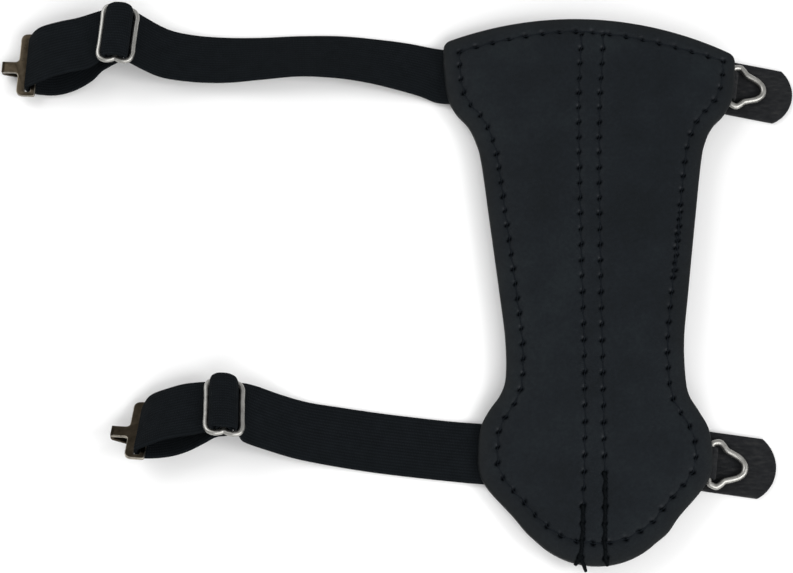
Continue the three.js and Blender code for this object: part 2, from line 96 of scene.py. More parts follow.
TAILS = [  # x, y, drift, end, drop
    (-4.9, -88, 1.7, -92.9, 1.6), (-5, -88.3, -1.6, -91.5, 0.3), (2.6, -88.6, 0.5, -91.6, 0.4),
]
CENTRE_SEAMS = [  # x, y down the panel from the top seam to the tip
    [
        (-2.5, 84), (-2.9, 78.9), (-3.8, 60), (-3.8, 32), (-3.5, 4.8), (-3, -23), (-3.1, -53.6), (-3.9, -72),
        (-4.4, -85), (-4.9, -89),
    ],
    [
        (4.4, 84), (4.3, 79), (3, 60), (2.4, 32), (2.4, 5), (2.6, -23), (2.7, -53.5), (2.7, -72), (2.3, -85),
        (2.6, -89.3),
    ],
]
THREAD = {"single": 0.2, "first": 0.64, "second": 0.6, "tail": 0.62, "lift": 0.3, "wander": 0.16, "vary": 0.1}
STITCH_ROWS = [  # share of the way between two holes, height
    (0, -0.9), (0.08, -0.3), (0.2, 0), (0.5, -0.06), (0.8, 0), (0.92, -0.3), (1, -0.9),
]

# Straps and hardware
STRAP = {
    "width": 19, "thick": 1.3, "gathered": 17.2, "folded": 16.8, "entering": 18.6, "hooked": 19.2,
    "sewn": 14, "rib": 0.012, "points": 56,
}
BAND = {"steps": 5, "spread": 0.8, "square": 14, "ribs": 8}
# The strap's dome over the slider's middle bar, foot to crown: across, height, far and near reach.
FOLD = [
    (3.42, 1, 7.8, 8.6), (3.85, 1.8, 8.4, 8.8), (3.5, 2.85, 9.25, 9), (1.9, 3.5, 9.85, 9.15),
    (0, 3.65, 9.95, 9.2),
]
SLIDER = {
    "spacing": 10.9, "wire": 1.75, "gap": 0.35, "slack": 0.4, "enter": 228, "leave": 290, "rise": 17.4,
    "tuck": (310, 550),
}
SLIDER_QUARTER = [(0, 8.4), (1.3, 8.95), (2.9, 9.25), (4.7, 8.65), (5.45, 7.1), (5.45, 3.5)]
HOOK = {
    "thick": 1, "length": 11.3, "rear": 0.8, "slot": 9.75, "slot_front": 2.6, "front": 5.4, "tongue": 4,
    "offset": -1, "tip": 10.8, "lip": 3.9, "rim": 0.28, "lip_rim": 0.18, "front_round": 2.4,
    "root_round": 1.4, "rear_round": 0.8, "tip_round": 0.5, "slot_round": 0.6, "wrap": (140, 285),
    "snug": 0.1, "lead": 0.55, "drift": 0.9,
}
LIP = [(10.8, 0.5), (10.8, -1.3), (10.4, -1.9), (5.7, -3.5), (5.7, -2.7), (9.9, -1.25), (9.9, 0.5)]
EYE = {"wire": 1.95, "reach": 10.9}
EYE_HALF = [
    (0, 0), (0, 3.4), (0.15, 6.05), (1.3, 6.85), (2.6, 7), (3.8, 6.05), (4.9, 4.9), (7, 4.05), (9, 3.1),
    (10.45, 1.65), (10.9, 0),
]
WIRE_SIDES = 14
KEEPER = {"width": 10, "thick": 0.9, "sewn": 8, "wrap": 95, "sag": 0.45, "points": 22}
TAB = {"width": 19, "thick": 1.5, "straight": 15.8, "radius": 11.6, "sewn": 9.5, "seat": 0.5, "flat": 2}
SEAT, WIRE_GAP, SURFACE = 0.3, 0.2, 0.1
# Places: x, y, z, yaw, roll. Rows: x, y, height of the lowest edge, roll.
# Loop: how far the slider's far end is drawn out, its slope, the slide of the long sides.
# Slips: the strap's shift to the far end before, in and after the slider.
ROUTES = {
    "upper": {
        "edge": (-48, 72.1, -11),
        "slider": (-154.2, 79.6, 13, -3, 0),
        "loop": (0.5, 0.15, 0),
        "slips": (0.4, 0.1, 0.7),
        "hook": (-182.2, 72.5, 3.75, -0.5, 0),
        "to_slider": [
            (-53, 73.6, 0.1, 5), (-61, 75.3, 0, 9), (-71, 76.7, 0, 14.5), (-82, 77.7, 0, 17.5),
            (-95, 77.6, 0, 20), (-108, 76.6, 0, 17.5), (-120, 76.1, 0.2, 12.5), (-131, 76.1, 1.5, 10.5),
            (-140, 76.7, 4.4, 8),
        ],
        "to_hook": [(-165.5, 77.7, 9.9, 0), (-172, 76.2, 9.6, 0), (-178.5, 74.8, 8, 0)],
        "back": [
            (-177.5, 72.2, 0.5, 0), (-172.5, 73.4, 0.2, 2), (-168, 75.8, 0.2, 6), (-164, 78.4, 1.8, 8),
            (-160, 79.4, 5.4, 4),
        ],
        "tab": (46.8, 70.3, -11),
        "eye": (46.8, 69.65, -8),
    },
    "lower": {
        "edge": (-34.9, -56, -5),
        "slider": (-113.2, -46.2, 12, 3.6, 20),
        "loop": (0.9, 0.03, 0.14),
        "slips": (1.9, 0.5, 1.7),
        "hook": (-137, -52.25, 6.7, -2.5, 25),
        "to_slider": [
            (-44, -55.2, 0, 0), (-56, -54.1, 0, 0), (-68, -52.8, 0, 0), (-80, -51.2, 0, 2),
            (-90, -49.8, 0.4, 6), (-98.5, -48.2, 3, 8), (-105.2, -46.8, 6.4, 9.3),
        ],
        "to_hook": [(-123.8, -46.1, 7, 17), (-128.6, -47.2, 6.5, 20), (-133.8, -48.6, 5.1, 24)],
        "back": [
            (-132, -52, 0.1, 21), (-127, -50.3, 0, 21), (-122.5, -48.3, 1.4, 21), (-118.5, -46.8, 4.2, 20),
        ],
        "tab": (35.5, -56.9, -7),
        "eye": (35.5, -58.25, -7),
    },
}

# The panel's middle in the shared frame.
panel_lo, panel_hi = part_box("body_panel")
SHIFT = np.array([panel_lo.x * 1000 + SOLID["half"], panel_hi.y * 1000 - SOLID["top"], 0.0])


# Curves and meshes


def unit(v):
    return v / np.linalg.norm(v, axis=-1, keepdims=True)


def smooth_step(t):
    t = np.clip(t, 0, 1)
    return t * t * (3 - 2 * t)


def catmull(points, steps, power=0.25, closed=False):
    """A smooth curve through the points, in steps per span: centripetal at power 0.25, uniform at 0."""
    p = np.asarray(points, float)
    if closed:
        p = np.vstack([p[-1], p, p[0], p[1]])
    else:
        p = np.vstack([2 * p[0] - p[1], p, 2 * p[-1] - p[-2]])
    w = (np.arange(steps) / steps)[:, None]
    out = []
    for a, b, c, d in zip(p, p[1:], p[2:], p[3:]):
        k = [max(float(((q - r) ** 2).sum()) ** power, 1e-4) for q, r in ((b, a), (c, b), (d, c))]
        start = ((b - a) / k[0] - (c - a) / (k[0] + k[1]) + (c - b) / k[1]) * k[1]
        end = ((c - b) / k[1] - (d - b) / (k[1] + k[2]) + (d - c) / k[2]) * k[1]
        square, cube = 3 * (c - b) - 2 * start - end, 2 * (b - c) + start + end
        out.append(b + start * w + square * w**2 + cube * w**3)
    if not closed:
        out.append(p[-2][None])
    return np.vstack(out)


def spaced(line, step, closed=False):
    """Points about a step apart along a line."""
    line = np.asarray(line, float)
    if closed:
        line = np.vstack([line, line[:1]])
    along = np.concatenate([[0], np.cumsum(np.linalg.norm(np.diff(line, axis=0), axis=1))])
    count = max(1, round(along[-1] / step))
    at = np.linspace(0, along[-1], count + 1)
    if closed:
        at = at[:-1]
    return np.stack([np.interp(at, along, line[:, k]) for k in range(line.shape[1])], axis=1)


def arc(x, y, radius, start, end, steps):
    a = np.radians(np.linspace(start, end, steps + 1))
    return np.stack([x + radius * np.cos(a), y + radius * np.sin(a)], axis=1)


def sweep(rings, closed=False):
    """Vertices and faces of a skin over a row of rings."""
    n, sides = len(rings), len(rings[0])
    faces = []
    for i in range(n if closed else n - 1):
        a, b = i * sides, (i + 1) % n * sides
        faces += [(a + j, a + (j + 1) % sides, b + (j + 1) % sides, b + j) for j in range(sides)]
    if not closed:
        faces += [tuple(range(sides))[::-1], tuple((n - 1) * sides + j for j in range(sides))]
    return np.vstack(rings), faces


def join(*parts):
    """Several vertex and face lists as one."""
    vertices, faces, count = [], [], 0
    for v, f in parts:
        vertices.append(np.asarray(v, float))
        faces += [tuple(i + count for i in face) for face in f]
        count += len(v)
    return np.vstack(vertices), faces


def tube(line, radius, sides, closed=False):
    """A round tube along a line. The radius is one number or one for each point."""
    line = np.asarray(line, float)
    if closed:
        along = unit(np.roll(line, -1, axis=0) - np.roll(line, 1, axis=0))
    else:
        along = unit(np.gradient(line, axis=0))
    across = unit(np.cross((0, 0, 1.0), along))
    lift = np.cross(along, across)
    turn = np.linspace(0, 2 * math.pi, sides, endpoint=False)
    radius = np.broadcast_to(np.asarray(radius, float), len(line))
    rings = [
        c + r * (np.cos(turn)[:, None] * a + np.sin(turn)[:, None] * u)
        for c, a, u, r in zip(line, across, lift, radius)
    ]
    return sweep(rings, closed)


def moved(part, matrix):
    vertices, faces = part
    m = np.array(matrix)
    return np.asarray(vertices) @ m[:3, :3].T + m[:3, 3], faces


def add(name, part, material, node=None, uv=None, sharp=40, fields=None):
    """A piece of the guard from vertices in millimetres, riding on the one body."""
    vertices, faces = part
    mesh = bpy.data.meshes.new(name)
    mesh.from_pydata(((np.asarray(vertices) + SHIFT) / 1000).tolist(), [], faces)
    if uv is not None:
        layer = mesh.uv_layers.new(name="UVMap")
        corner = np.zeros(len(mesh.loops), np.int32)
        mesh.loops.foreach_get("vertex_index", corner)
        layer.data.foreach_set("uv", np.asarray(uv, np.float32)[corner].ravel())
    work = bmesh.new()
    work.from_mesh(mesh)
    bmesh.ops.recalc_face_normals(work, faces=work.faces)
    work.to_mesh(mesh)
    work.free()
    mesh.polygons.foreach_set("use_smooth", [True] * len(mesh.polygons))
    mesh.set_sharp_from_angle(angle=math.radians(sharp))
    for key, values in (fields or {}).items():
        mesh.attributes.new(key, "FLOAT", "POINT").data.foreach_set("value", values.astype(np.float32))
    mesh.materials.append(material)
    piece = bpy.data.objects.new(name, mesh)
    bpy.context.scene.collection.objects.link(piece)
    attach(piece, "root")
    if node:
        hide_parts(node)
    return piece


# Materials


def linear(*colour):
    """A screen colour, each part from 0 to 255, as the linear colour that a shader takes."""
    parts = [c / 255 / 12.92 if c <= 10 else ((c / 255 + 0.055) / 1.055) ** 2.4 for c in colour]
    return (*parts, 1.0)


class Shader:
    """A principled material with a few node helpers."""

    def __init__(self, name, **sockets):
        self.material = bpy.data.materials.new(name)
        self.material.use_nodes = True
        self.nodes = self.material.node_tree.nodes
        self.links = self.material.node_tree.links
        self.bsdf = self.nodes["Principled BSDF"]
        for key, value in sockets.items():
            self.bsdf.inputs[key.replace("_", " ")].default_value = value
        self.place = self.nodes.new("ShaderNodeTexCoord")

    def coords(self, scale, uv=False):
        node = self.nodes.new("ShaderNodeMapping")
        node.inputs["Scale"].default_value = scale
        self.links.new(self.place.outputs["UV" if uv else "Object"], node.inputs["Vector"])
        return node.outputs["Vector"]

    def noise(self, scale, detail, rough=0.55):
        node = self.nodes.new("ShaderNodeTexNoise")
        node.inputs["Scale"].default_value = 1.0
        node.inputs["Detail"].default_value = detail
        node.inputs["Roughness"].default_value = rough
        self.links.new(self.coords(scale), node.inputs["Vector"])
        return node.outputs["Fac"]

    def cells(self, scale):
        node = self.nodes.new("ShaderNodeTexVoronoi")
        node.feature = "DISTANCE_TO_EDGE"
        node.inputs["Scale"].default_value = 1.0
        self.links.new(self.coords(scale), node.inputs["Vector"])
        return node.outputs["Distance"]

    def bands(self, scale, axis="X"):
        node = self.nodes.new("ShaderNodeTexWave")
        node.wave_type = "BANDS"
        node.bands_direction = axis
        node.inputs["Scale"].default_value = 1.0
        node.inputs["Distortion"].default_value = 0.35
        node.inputs["Detail Scale"].default_value = 1.5
        self.links.new(self.coords(scale, uv=True), node.inputs["Vector"])
        return node.outputs["Fac"]

    def math(self, kind, a, b):
        node = self.nodes.new("ShaderNodeMath")
        node.operation = kind
        for socket, value in zip(node.inputs, (a, b)):
            if isinstance(value, (int, float)):
                socket.default_value = value
            else:
                self.links.new(value, socket)
        return node.outputs["Value"]

    def ramp(self, fac, *stops):
        node = self.nodes.new("ShaderNodeValToRGB")
        ramp = node.color_ramp
        while len(ramp.elements) < len(stops):
            ramp.elements.new(0.5)
        for element, (at, colour) in zip(ramp.elements, stops):
            element.position = at
            element.color = colour
        self.links.new(fac, node.inputs["Fac"])
        return node.outputs["Color"]

    def field(self, name):
        node = self.nodes.new("ShaderNodeAttribute")
        node.attribute_name = name
        return node.outputs["Fac"]

    def blend(self, fac, a, b):
        node = self.nodes.new("ShaderNodeMix")
        node.data_type = "RGBA"
        colours = [socket for socket in node.inputs if socket.type == "RGBA"]
        self.links.new(fac, node.inputs["Factor"])
        for socket, value in zip(colours, (a, b)):
            if isinstance(value, tuple):
                socket.default_value = value
            else:
                self.links.new(value, socket)
        return next(socket for socket in node.outputs if socket.type == "RGBA")

    def grey(self, fac, low, high, start=0.3, end=0.7):
        return self.ramp(fac, (start, (low, low, low, 1)), (end, (high, high, high, 1)))

    def into(self, socket, value):
        self.links.new(value, self.bsdf.inputs[socket])

    def bump(self, height, distance, strength, under=None):
        node = self.nodes.new("ShaderNodeBump")
        node.inputs["Strength"].default_value = strength
        node.inputs["Distance"].default_value = distance
        self.links.new(height, node.inputs["Height"])
        if under is not None:
            self.links.new(under, node.inputs["Normal"])
        self.links.new(node.outputs["Normal"], self.bsdf.inputs["Normal"])
        return node.outputs["Normal"]


def leather():
    s = Shader("black_leather", Specular_IOR_Level=0.09)
    broad = s.math("MULTIPLY", s.noise((60, 60, 60), 4), 0.6)
    tone = s.math("ADD", broad, s.math("MULTIPLY", s.noise((900, 900, 900), 3), 0.4))
    base = s.ramp(tone, (0.35, linear(14, 18, 21)), (0.5, linear(18, 22, 26)), (0.65, linear(23, 28, 31)))
    warm = s.blend(s.math("MULTIPLY", s.field("rim"), 0.5), base, linear(27, 28, 27))
    # Painted highlight: the needle holes' lips are lightened where light would catch them.
    painted_highlight = s.blend(s.field("lip"), warm, linear(47, 49, 52))
    s.into("Base Color", s.blend(s.math("MULTIPLY", s.field("stitch_shade"), 0.9), painted_highlight, linear(9, 12, 17)))
    s.into("Roughness", s.grey(s.noise((350, 350, 350), 3), 0.48, 0.66))
    grain = s.bump(s.math("MINIMUM", s.cells((1000, 1000, 1000)), 0.12), 0.0006, 0.5)
    s.bump(s.noise((1800, 1800, 1800), 4, 0.6), 0.00025, 0.5, grain)
    return s.material


def suede():
    s = Shader("rough_leather", Specular_IOR_Level=0.06, Sheen_Weight=0.04, Sheen_Roughness=0.6)
    streaks = s.noise((260, 900, 600), 4, 0.65)
    shades = (0.3, linear(19, 20, 22)), (0.52, linear(28, 29, 31)), (0.75, linear(42, 42, 42))
    s.into("Base Color", s.ramp(streaks, *shades))
    s.into("Roughness", s.grey(s.noise((500, 500, 500), 3), 0.75, 0.95))
    creases = s.bump(streaks, 0.0008, 0.6)
    s.bump(s.noise((2600, 2600, 2600), 3, 0.7), 0.0003, 0.6, creases)
    return s.material


def elastic():
    s = Shader("black_elastic", Roughness=0.85, Specular_IOR_Level=0.05)
    warp = s.bands((330, 0, 0))
    weft = s.bands((0, 620, 0), axis="Y")
    knit = s.math("MULTIPLY", s.math("ADD", warp, 0.35), s.math("ADD", weft, 0.5))
    woven = s.math("MULTIPLY", knit, 0.35)
    tone = s.math("ADD", woven, s.math("MULTIPLY", s.noise((300, 300, 300), 4), 0.5))
    shades = (0.25, linear(9, 12, 14)), (0.6, linear(15, 18, 21)), (0.9, linear(21, 25, 28))
    s.into("Base Color", s.ramp(tone, *shades))
    s.bump(knit, 0.00015, 0.6)
    return s.material


def thread(name, dark, light, gloss):
    s = Shader(name, Roughness=0.6, Specular_IOR_Level=gloss)
    fibre = s.noise((2500, 2500, 900), 2)
    s.into("Base Color", s.ramp(fibre, (0.35, linear(*dark)), (0.7, linear(*light))))
    s.bump(fibre, 0.0002, 0.5)
    return s.material


def nickel():
    s = Shader("bright_nickel", Metallic=1.0)
    wear = s.noise((700, 700, 700), 4)
    shades = (0.3, linear(154, 153, 149)), (0.6, linear(170, 169, 165)), (0.8, linear(184, 183, 180))
    s.into("Base Color", s.ramp(wear, *shades))
    s.into("Roughness", s.grey(wear, 0.36, 0.48))
    s.bump(s.noise((1500, 1500, 1500), 2), 0.00002, 0.3)
    return s.material


def steel():
    s = Shader("dull_steel", Metallic=1.0)
    wear = s.noise((450, 450, 450), 5)
    dull = s.ramp(wear, (0.3, linear(50, 44, 35)), (0.55, linear(61, 54, 44)), (0.8, linear(80, 72, 61)))
    # Painted highlight: the plate's rims are lightened, patchy with the wear noise.
    s.into("Base Color", s.blend(s.math("MULTIPLY", s.field("painted_highlight"), wear), dull, linear(190, 184, 172)))
    s.into("Roughness", s.grey(wear, 0.26, 0.42))
    s.bump(s.noise((1200, 3000, 1200), 3), 0.00008, 0.5)
    return s.material


LEATHER, SUEDE, ELASTIC, NICKEL, STEEL = leather(), suede(), elastic(), nickel(), steel()
SINGLE_THREAD = thread("black_thread", (14, 18, 22), (21, 25, 30), 0.06)
# The same black thread painted darker as shade, for the doubled stretches and the loose tails.
SHADED_DOUBLED_THREAD = thread("doubled_thread_painted_shade", (4, 6, 8), (11, 14, 16), 0.03)


# Leather panel


def underside(x, y):
    t = (y - LOWER["y"]) / (UPPER["y"] - LOWER["y"])
    half, left, right = (LOWER[k] + t * (UPPER[k] - LOWER[k]) for k in ("half", "left", "right"))
    return left + (right - left) * (x + half) / (2 * half) + ARCH * (half * half - x * x)


def top_edge(x):
    return TOP_ARC["crown"] - TOP_ARC["radius"] + np.sqrt(TOP_ARC["radius"] ** 2 - (x - TOP_ARC["x"]) ** 2)


def panel_outline(step):
    """The panel's edge seen from above, clockwise from its upper left corner."""
    reach = CORNER["half"] - CORNER["round"]

    def corner(side):
        a = np.array([side * CORNER["half"], top_edge(side * CORNER["half"]) - CORNER["round"]])
        b = np.array([side * CORNER["half"], top_edge(side * CORNER["half"])])
        c = np.array([side * reach, top_edge(side * reach)])
        t = np.linspace(0, 1, 9)[:, None]
        return a * (1 - t) ** 2 + 2 * b * t * (1 - t) + c * t**2

    x = np.linspace(-reach, reach, 60)
    top = np.vstack([corner(-1), np.stack([x, top_edge(x)], axis=1)[1:-1], corner(1)[::-1]])
    tip = arc(0, TIP["end"] + TIP["radius"], TIP["radius"], -TIP["angle"], TIP["angle"] - 180, 40)
    right = catmull([(half, y) for y, _, half in SIDES] + [tip[0]], 10, 0)[:-1]
    left = catmull([(-half, y) for y, half, _ in SIDES] + [tip[-1]], 10, 0)[:-1][::-1]
    return spaced(np.vstack([top, right, tip, left]), step, closed=True)


def distance(points, line, closed=True):
    """Distance of each point from a line of straight spans."""
    a = np.asarray(line, float)
    b = np.roll(a, -1, axis=0)
    if not closed:
        a, b = a[:-1], b[:-1]
    d = b - a
    size = np.maximum((d * d).sum(1), 1e-12)
    out = []
    for part in np.array_split(points, max(1, len(points) // 1500)):
        rel = part[:, None] - a
        t = np.clip((rel * d).sum(2) / size, 0, 1)
        out.append(np.sqrt(((rel - t[..., None] * d) ** 2).sum(2)).min(1))
    return np.concatenate(out)


def inset(outline, depth, slack=0.06):
    """The outline moved inwards, without the points that a corner crowds out."""
    depth = np.broadcast_to(np.asarray(depth, float), len(outline))
    along = unit(np.roll(outline, -1, axis=0) - np.roll(outline, 1, axis=0))
    inner = outline + np.stack([along[:, 1], -along[:, 0]], axis=1) * depth[:, None]
    return inner[distance(inner, outline) > depth - slack - 0.03 * depth]


OUTLINE = panel_outline(0.7)


def bumps(x, y, rows):
    """Sum of round bumps, each a row of place, reach and height."""
    return sum(height * np.exp(-((x - at) ** 2 + (y - up) ** 2) / reach**2) for at, up, reach, height in rows)


RIM_SEAM = spaced(inset(OUTLINE, SEAM_DEPTH + bumps(*OUTLINE.T, DEEPER)), 0.5, closed=True)


def run_of(line, start, end):
    """The stretch of a closed line between the points nearest to start and end, going forwards."""
    i, j = (int(((line - p) ** 2).sum(1).argmin()) for p in (start, end))
    return np.take(line, range(i, j + 1 if j > i else j + 1 + len(line)), axis=0, mode="wrap")


upper_left = RIM_SEAM[(RIM_SEAM @ (-1, 1)).argmax()]
upper_right = RIM_SEAM[(RIM_SEAM @ (1, 1)).argmax()]
SEAM_RUNS = [run_of(RIM_SEAM, upper_left, upper_right), run_of(RIM_SEAM, upper_right, upper_left)]
CENTRE_RUNS = [spaced(catmull(line, 8), 0.5) for line in CENTRE_SEAMS]
TOP_HOLES, RIM_HOLES = (spaced(run, pitch) for run, pitch in zip(SEAM_RUNS, (TOP_PITCH, RIM_PITCH)))
CENTRE_HOLES = [spaced(run, CENTRE_PITCH) for run in CENTRE_RUNS]


def doubled_holes(spots):
    """A second row of holes, between those of the stretch where the rim's seam begins and ends."""
    middle = (spots[1:] + spots[:-1]) / 2
    along = unit(spots[1:] - spots[:-1])
    outward = np.stack([-along[:, 1], along[:, 0]], axis=1)
    inside = (middle[:, 0] > 0) & (middle[:, 1] > DOUBLED["low"]) & (middle[:, 1] < DOUBLED["high"])
    return (middle + DOUBLED["aside"] * outward)[inside]


HOLES = [TOP_HOLES, RIM_HOLES, *CENTRE_HOLES, doubled_holes(RIM_HOLES)]


def swell(x, y):
    """Low swells and dips of the leather."""
    ripple = 0.12 * np.sin(x / 9 + 0.7) * np.sin(y / 17 + 0.4) + 0.06 * np.sin(x / 4.3 + y / 7.1)
    return ripple + bumps(x, y, SWELLS)


def panel_height(points, seam, dent, edge):
    """Top of the leather, from the distances to the nearest seam and edge and the depth of its dents."""
    x, y = points.T
    rim = RIM["top"]
    over = np.clip(rim - edge, 0, rim)
    crown = RELIEF["crown"] * (1 - np.exp(-seam / RELIEF["crown_reach"])) * smooth_step(edge / 4)
    groove = RELIEF["groove"] * np.exp(-((seam / RELIEF["groove_half"]) ** 2))
    return (
        underside(x, y) + THICK - RELIEF["sunk"] + swell(x, y) * smooth_step(edge / 6) + crown
        - groove - dent - (rim - np.sqrt(rim**2 - over**2))
    )


def slits():
    """Place, direction and size of each needle hole, a slit that slants across its seam."""
    spots = np.vstack(HOLES)
    along = np.vstack([unit(np.gradient(line, axis=0)) for line in HOLES])
    wander = np.sin(np.arange(len(spots)) * 2.4)
    turn = np.radians(HOLE["turn"] + HOLE["wander"] * wander)
    c, s = np.cos(turn), np.sin(turn)
    slant = np.stack([along[:, 0] * c - along[:, 1] * s, along[:, 0] * s + along[:, 1] * c], axis=1)
    return spots, slant, 1 + HOLE["vary"] * np.roll(wander, 1)


def hole_rings():
    """Points on rings in and round the needle holes."""
    spots, slant, size = slits()
    long = slant * (HOLE["long"] * size)[:, None]
    wide = np.stack([-slant[:, 1], slant[:, 0]], axis=1) * (HOLE["wide"] * size)[:, None]
    out = [spots]
    for reach, count in HOLE_RINGS:
        turns = np.linspace(0, 2 * math.pi, count, endpoint=False)
        out += [spots + reach * (long * math.cos(a) + wide * math.sin(a)) for a in turns]
    return np.vstack(out)


def needle_holes(points):
    """How far each point lies in a needle hole, in the dimple round it and on its raised lip, where a
    highlight is painted, from 0 to 1.
    """
    spots, slant, size = slits()
    # How strong each hole's raised lip and its painted highlight are.
    painted_highlight = np.clip(0.5 + 0.7 * np.sin(np.arange(len(spots)) * 1.7), 0, 1)
    fields = []
    for part in np.array_split(points, 40):
        rel = part[:, None] - spots
        far = (rel * slant).sum(2) / (HOLE["long"] * size)
        side = (rel[..., 0] * slant[:, 1] - rel[..., 1] * slant[:, 0]) / (HOLE["wide"] * size)
        hole = np.exp(-((far**2 + side**2) ** 1.5)).max(1)
        dimple = np.exp(-(rel**2).sum(2) / HOLE["dimple"] ** 2).max(1)
        lip = (painted_highlight * np.exp(-((rel - LIP_SIDE) ** 2).sum(2) / HOLE["spot"] ** 2)).max(1)
        fields.append(np.stack([hole, dimple, lip]))
    return np.concatenate(fields, axis=1)


def sparse(groups):
    """The points of each group in turn that keep its distance from all points kept before."""
    kept, cells = [], {}
    for points, gap in groups:
        for p in points:
            key = int(p[0] // 1), int(p[1] // 1)
            around = [(key[0] + i, key[1] + j) for i in (-1, 0, 1) for j in (-1, 0, 1)]
            near = (q for cell in around for q in cells.get(cell, ()))
            if all((p[0] - q[0]) ** 2 + (p[1] - q[1]) ** 2 > gap * gap for q in near):
                kept.append(p)
                cells.setdefault(key, []).append(p)
    return np.array(kept)


def beside(line, offset, closed):
    along = np.roll(line, -1, axis=0) - np.roll(line, 1, axis=0) if closed else np.gradient(line, axis=0)
    along = unit(along)
    return line + offset * np.stack([along[:, 1], -along[:, 0]], axis=1)


def panel():
    groups = [(OUTLINE, CLOSEST["outline"])]
    groups += [(inset(OUTLINE, depth, 0.02), CLOSEST["edge"]) for depth in EDGE_STEPS]
    groups.append((hole_rings(), CLOSEST["hole"]))
    for offset in SEAM_STEPS:
        groups.append((beside(RIM_SEAM, offset, True), CLOSEST["seam"]))
        groups += [(beside(run, offset, False), CLOSEST["seam"]) for run in CENTRE_RUNS]
    gx, gy = np.meshgrid(np.arange(-48, 48.1, GRID_STEP), np.arange(-92, 90.1, GRID_STEP))
    groups.append((np.stack([gx.ravel(), gy.ravel()], axis=1), CLOSEST["grid"]))
    points = sparse(groups)
    loop = len(OUTLINE)
    ring = [(i, (i + 1) % loop) for i in range(loop)]
    flat, _, faces, *_ = delaunay_2d_cdt([Vector(p) for p in points], ring, [], 1, 1e-6)
    points = np.array([tuple(p) for p in flat])
    edge = distance(points, OUTLINE)
    centre = np.min([distance(points, run, False) for run in CENTRE_RUNS], axis=0)
    seam = np.minimum(distance(points, RIM_SEAM), centre)
    hole, dimple, lip = needle_holes(points)
    dent = HOLE["deep"] * hole + HOLE["dip"] * dimple - HOLE["lip"] * lip
    top = panel_height(points, seam, dent, edge)
    rim = RIM["bottom"]
    over = np.clip(rim - edge, 0, rim)
    bottom = underside(*points.T) + rim - np.sqrt(rim**2 - over**2) + HOLE["below"] * hole
    used = np.unique(np.concatenate([np.array(f) for f in faces]))
    count = len(points)
    vertices = np.vstack([np.column_stack([points, top]), np.column_stack([points, bottom])])
    skins = [tuple(f) for f in faces] + [tuple(i + count for i in reversed(f)) for f in faces]
    edges = dict.fromkeys((a, b) for f in faces for a, b in zip(f, [*f[1:], f[0]]))
    walls = [(b, a, a + count, b + count) for a, b in edges if (b, a) not in edges]
    keep = np.zeros(2 * count, bool)
    keep[used] = keep[used + count] = True
    new = np.cumsum(keep) - 1
    shade = np.maximum(hole, 0.05 * np.exp(-((seam / 0.5) ** 2)))
    marks = {"stitch_shade": shade, "rim": np.exp(-edge / 2.5), "lip": lip}
    fields = {key: np.tile(values, 2)[keep] for key, values in marks.items()}
    return (vertices[keep], [tuple(int(new[i]) for i in f) for f in skins + walls]), fields


def surface(points):
    """Height of the leather beside a seam, as if it had no needle holes."""
    points = np.atleast_2d(points)
    seam = np.full(len(points), 0.2)
    return panel_height(points, seam, np.zeros(len(points)), distance(points, OUTLINE))


def stitch(a, b, radius, side=0.0, lift=0.0, below=False):
    """One thread from needle hole a to needle hole b, on the panel or below it, fullest where it goes in."""
    along = unit(b - a)
    square = np.array([along[1], -along[0]])
    plan = np.array([a + (b - a) * t + square * side * math.sin(2 * math.pi * t) for t, _ in STITCH_ROWS])
    rise = np.array([h + lift * math.sin(math.pi * t) for t, h in STITCH_ROWS])
    height = underside(*plan.T) + 0.1 - rise if below else surface(plan) + rise
    line = catmull(np.column_stack([plan, height]), 3)
    full = 0.8 + 0.35 * np.abs(np.linspace(-1, 1, len(line)))
    return tube(line, radius * full, sides=7)


def stitching():
    """The single thread of every seam and the doubled thread at the lower ends of the centre seams."""
    single, double = [], []
    for k, spots in enumerate(HOLES):
        for i, (a, b) in enumerate(zip(spots, spots[1:])):
            wander = THREAD["wander"] + THREAD["vary"] * math.sin(2.4 * i + k)
            middle = (a + b) / 2
            if a[1] < LOCKED.get(k, -math.inf):
                double.append(stitch(a, middle, THREAD["first"], wander, THREAD["lift"]))
                double.append(stitch(middle, b, THREAD["second"], -wander, THREAD["lift"]))
            else:
                single.append(stitch(a, b, THREAD["single"], wander))
            single.append(stitch(a, b, THREAD["single"], wander, below=True))
    return join(*single), join(*double)


def thread_tails():
    """Loose thread ends over the panel's tip."""
    parts = []
    for x, y, dx, end, drop in TAILS:
        top = float(surface(np.array([[x, y]]))[0])
        path = [
            (x, y, top - 0.6),
            (x - 0.2 * dx, y - 1, top + 0.3),
            (x + 0.5 * dx, (y + 2 * end) / 3, top + 0.1),
            (x + dx, end, top - drop),
        ]
        line = catmull(path, 6)
        radius = THREAD["tail"] * np.sqrt(1 - np.linspace(0, 0.9, len(line)) ** 8)
        parts.append(tube(line, radius, sides=8))
    return join(*parts)


# Straps and hardware


def frame_of(place):
    x, y, z, yaw, roll = place
    turn = Matrix.Rotation(math.radians(yaw), 4, "Z") @ Matrix.Rotation(math.radians(-roll), 4, "X")
    return np.array(Matrix.Translation((x, y, z)) @ turn)


def slider_frame(level):
    """The slider's place, with its long sides slid along themselves."""
    matrix = frame_of(ROUTES[level]["slider"])
    matrix[:3, 0] -= ROUTES[level]["loop"][2] * matrix[:3, 1]
    return matrix


def bend(matrix, x, radius, turn, steps, width, slip=(0, 0)):
    """Stations of the strap round a bar along the matrix's Y axis: first and last angle, width and slip."""
    points = arc(x, 0, radius, *turn, steps)
    widths, slips = (np.linspace(*ends, steps + 1) for ends in (width, slip))
    return [
        (matrix[:3, :3] @ (px, aside, pz) + matrix[:3, 3], matrix[:3, 1], w)
        for (px, pz), w, aside in zip(points, widths, slips)
    ]


